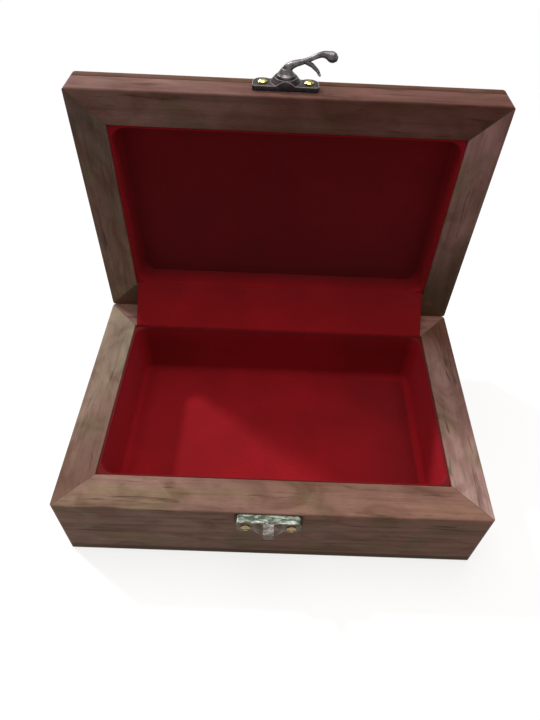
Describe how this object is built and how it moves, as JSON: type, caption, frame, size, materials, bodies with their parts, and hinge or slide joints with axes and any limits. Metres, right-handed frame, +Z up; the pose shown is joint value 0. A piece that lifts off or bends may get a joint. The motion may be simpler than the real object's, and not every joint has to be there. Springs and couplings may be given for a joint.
{
  "type": "carved jewelry box",
  "caption": "Small hardwood jewelry box with a hinged lid that stands open, velvet lining, a swinging hook latch with keeper, and a carved flower and leaf field on the lid.",
  "frame": {"origin": "centre of the flat underside of the bottom board", "axes": "+Z up from the underside, +X to the right along the long side, +Y to the back, so the front with the keeper faces -Y; the lid is stored standing open at a right angle"},
  "size_m": [0.203, 0.1606, 0.1945],
  "materials": {
    "wood": "sawn and oiled hardwood",
    "velvet": "short pile velvet",
    "antique_casting": "zinc casting in dark antique bronze",
    "screw_brass": "polished, slightly tarnished",
    "hinge_brass": "rolled and tarnished",
    "rivet_steel": "blackened"
  },
  "bodies": {
    "base": {"bottom_board": "wood", "base_front_board": "wood", "base_back_board": "wood", "base_left_board": "wood", "base_right_board": "wood", "base_lining_front": "velvet", "base_lining_back": "velvet", "base_lining_left": "velvet", "base_lining_right": "velvet", "base_floor_pad": "velvet", "hinge_web": "velvet", "hinge_base_leaf_left": "hinge_brass", "hinge_base_leaf_right": "hinge_brass", "hinge_pin_left": "hinge_brass", "hinge_pin_right": "hinge_brass", "hinge_base_screws": "hinge_brass", "keeper_plate": "antique_casting", "keeper_screws": "screw_brass"},
    "lid": {"lid_front_rail": "wood", "lid_back_rail": "wood", "lid_left_rail": "wood", "lid_right_rail": "wood", "lid_board": "wood", "lid_lining_front": "velvet", "lid_lining_back": "velvet", "lid_lining_left": "velvet", "lid_lining_right": "velvet", "lid_lining_pad": "velvet", "hinge_lid_leaf_left": "hinge_brass", "hinge_lid_leaf_right": "hinge_brass", "hinge_lid_screws": "hinge_brass", "latch_plate": "antique_casting", "latch_screws": "screw_brass"},
    "hook": {"latch_hook": "antique_casting", "latch_rivet": "rivet_steel"}
  },
  "joints": [
    {"name": "lid_hinge", "type": "hinge", "parent": "base", "child": "lid", "pos_m": [0, 0.066, 0.04605], "axis": [1, 0, 0], "range_deg": [0, 90], "deforming": ["hinge_web"]},
    {"name": "hook_pivot", "type": "hinge", "parent": "lid", "child": "hook", "pos_m": [-0.002, 0.07615, 0.17805], "axis": [0, 0, -1], "range_deg": [-253, 72]}
  ]
}
